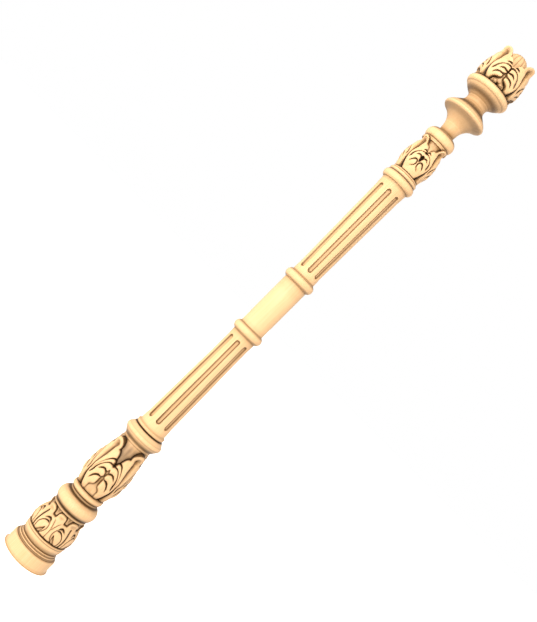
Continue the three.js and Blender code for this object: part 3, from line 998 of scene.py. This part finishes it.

# %% [markdown]
# The painted shade
#
# In wide hollows, such as under the bell, painted shade tones the wood towards brown. In cuts
# and corners the painted shade is thick and nearly black. The first follows the wide look round,
# and the second the near one or the shade drawn with the cuts, whichever is darker.

# %% Paint shade into the hollows and the cuts
# painted shade colours: a brown for wide hollows and a near black for cuts and corners
BROWN_SHADE = linear("#8f693f")
DARK_SHADE = linear("#200e01")
around = add_node(nodes, "ShaderNodeAttribute", attribute_name="wide")
shaded = add_node(nodes, "ShaderNodeMapRange", [(around.outputs["Fac"], "Value")],
                  From_Min=0.0, From_Max=0.27)
wide_shade_mix = add_node(nodes, "ShaderNodeMix", [(shaded.outputs[0], 0), (grain.outputs[2], 6)],
                 data_type="RGBA")
wide_shade_mix.inputs[7].default_value = BROWN_SHADE
hollow = add_node(nodes, "ShaderNodeAttribute", attribute_name="near")
near_shade = add_node(nodes, "ShaderNodeMapRange", [(hollow.outputs["Fac"], "Value")],
                  From_Min=0.10, From_Max=0.5)
cut_shade = add_node(nodes, "ShaderNodeAttribute", attribute_name="painted_shade")
shade_amount = add_node(nodes, "ShaderNodeMath", [(near_shade.outputs[0], 0), (cut_shade.outputs["Fac"], 1)],
                 operation="MAXIMUM")
colour = add_node(nodes, "ShaderNodeMix", [(shade_amount.outputs[0], 0), (wide_shade_mix.outputs[2], 6)],
                  data_type="RGBA")
colour.inputs[7].default_value = DARK_SHADE
print("wax drawn with the cuts, at most", round(max(point_shade), 2))

# %% [markdown]
# The gleam
#
# Waxed wood scatters most of its light and reflects a little of it, broadly. So the surface is
# rough, and the grain raises it by a fifth of a millimetre at most.

# %% Give the wood its dull gleam
bump = add_node(nodes, "ShaderNodeBump", [(streaks.outputs["Fac"], "Height")],
                Strength=0.12, Distance=0.0002)
surface = add_node(nodes, "ShaderNodeBsdfPrincipled",
                   [(colour.outputs[2], "Base Color"), (bump.outputs[0], "Normal")],
                   Roughness=0.55, IOR=1.47, Specular_IOR_Level=0.2)
add_node(nodes, "ShaderNodeOutputMaterial", [(surface.outputs[0], "Surface")])
mesh.materials.clear()
mesh.materials.append(wood)
print("material", wood.name, "with", len(nodes.nodes), "nodes")

# %% [markdown]
# Its place in the frame
#
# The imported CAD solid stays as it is, for collision and mass. The carved mesh is shown in its
# place and rides on the part's only body.

# %% Put the piece in the frame
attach(baluster, "root")
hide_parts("baluster")
print(baluster.name, "rides on root and stands for the CAD node baluster")

# %% [markdown]
# The floor
#
# The post is shown on plain white, so the floor glows a little. It lends the wood no light and
# casts no shadow, so it neither fills the hollows under the mouldings nor blocks the low lamps.

# %% Lay the floor
FLOOR_SIZE = 60.0
floor_mesh = bpy.data.meshes.new("floor")
half = FLOOR_SIZE / 2
floor_mesh.from_pydata([(-half, -half, 0), (half, -half, 0), (half, half, 0), (-half, half, 0)],
                       [], [(0, 1, 2, 3)])
floor = bpy.data.objects.new("floor", floor_mesh)
scene.collection.objects.link(floor)
paper = bpy.data.materials.new("white_card")
paper.use_nodes = True
card = paper.node_tree.nodes["Principled BSDF"]
for socket, value in (("Base Color", linear("#f4f2ee")), ("Roughness", 0.9),
                      ("Emission Color", (1, 1, 1, 1)), ("Emission Strength", 0.9)):
    card.inputs[socket].default_value = value
floor_mesh.materials.append(paper)
floor.visible_diffuse = False
floor.visible_glossy = False
floor.visible_shadow = False
print("floor", FLOOR_SIZE, "m wide, in", paper.name)

# %% [markdown]
# The lamps
#
# A large soft lamp stands in front of the post, to its left and near its top, and lights every
# face that is turned to the viewer. Two very broad suns behind the post, one at each side and a
# little low, brighten its edges, as strip lights do in a studio.

# %% Set the lamps
def add_sun(name, toward, strength, spread):
    """A lamp whose light travels along toward; spread in degrees softens its shadows."""
    lamp = bpy.data.lights.new(name, "SUN")
    lamp.energy = strength
    lamp.angle = math.radians(spread)
    lamp_object = bpy.data.objects.new(name, lamp)
    lamp_object.rotation_mode = "QUATERNION"
    lamp_object.rotation_quaternion = Vector(toward).to_track_quat("-Z", "Y")
    scene.collection.objects.link(lamp_object)


key = bpy.data.lights.new("key", "POINT")
key.energy = 430
key.shadow_soft_size = 0.3
key_object = bpy.data.objects.new("key", key)
key_object.location = (-0.72, -2.4, 1.02)
scene.collection.objects.link(key_object)
add_sun("right", (-0.9, -0.42, 0.16), 3.4, 120)
add_sun("left", (0.9, -0.42, 0.22), 2.8, 120)

# %% [markdown]
# The white round about
#
# The world is white to the camera, as paper is, and faint to the wood, where a bright white
# would wash out every hollow.

# %% Whiten the world
SEEN, FELT = 1.0, 0.10  # how bright the white is to the camera, and to the wood
world = bpy.data.worlds.new("studio")
scene.world = world
world.use_nodes = True
sky = world.node_tree
sky.nodes.clear()
path = add_node(sky, "ShaderNodeLightPath")
brightness = add_node(sky, "ShaderNodeMapRange", [(path.outputs["Is Camera Ray"], "Value")],
                      To_Min=FELT, To_Max=SEEN)
white = add_node(sky, "ShaderNodeBackground", [(brightness.outputs[0], "Strength")],
                 Color=(1, 1, 1, 1))
add_node(sky, "ShaderNodeOutputWorld", [(white.outputs[0], "Surface")])
scene.view_settings.view_transform = "Standard"
print("world", world.name, "seen at", SEEN, "and felt at", FELT)
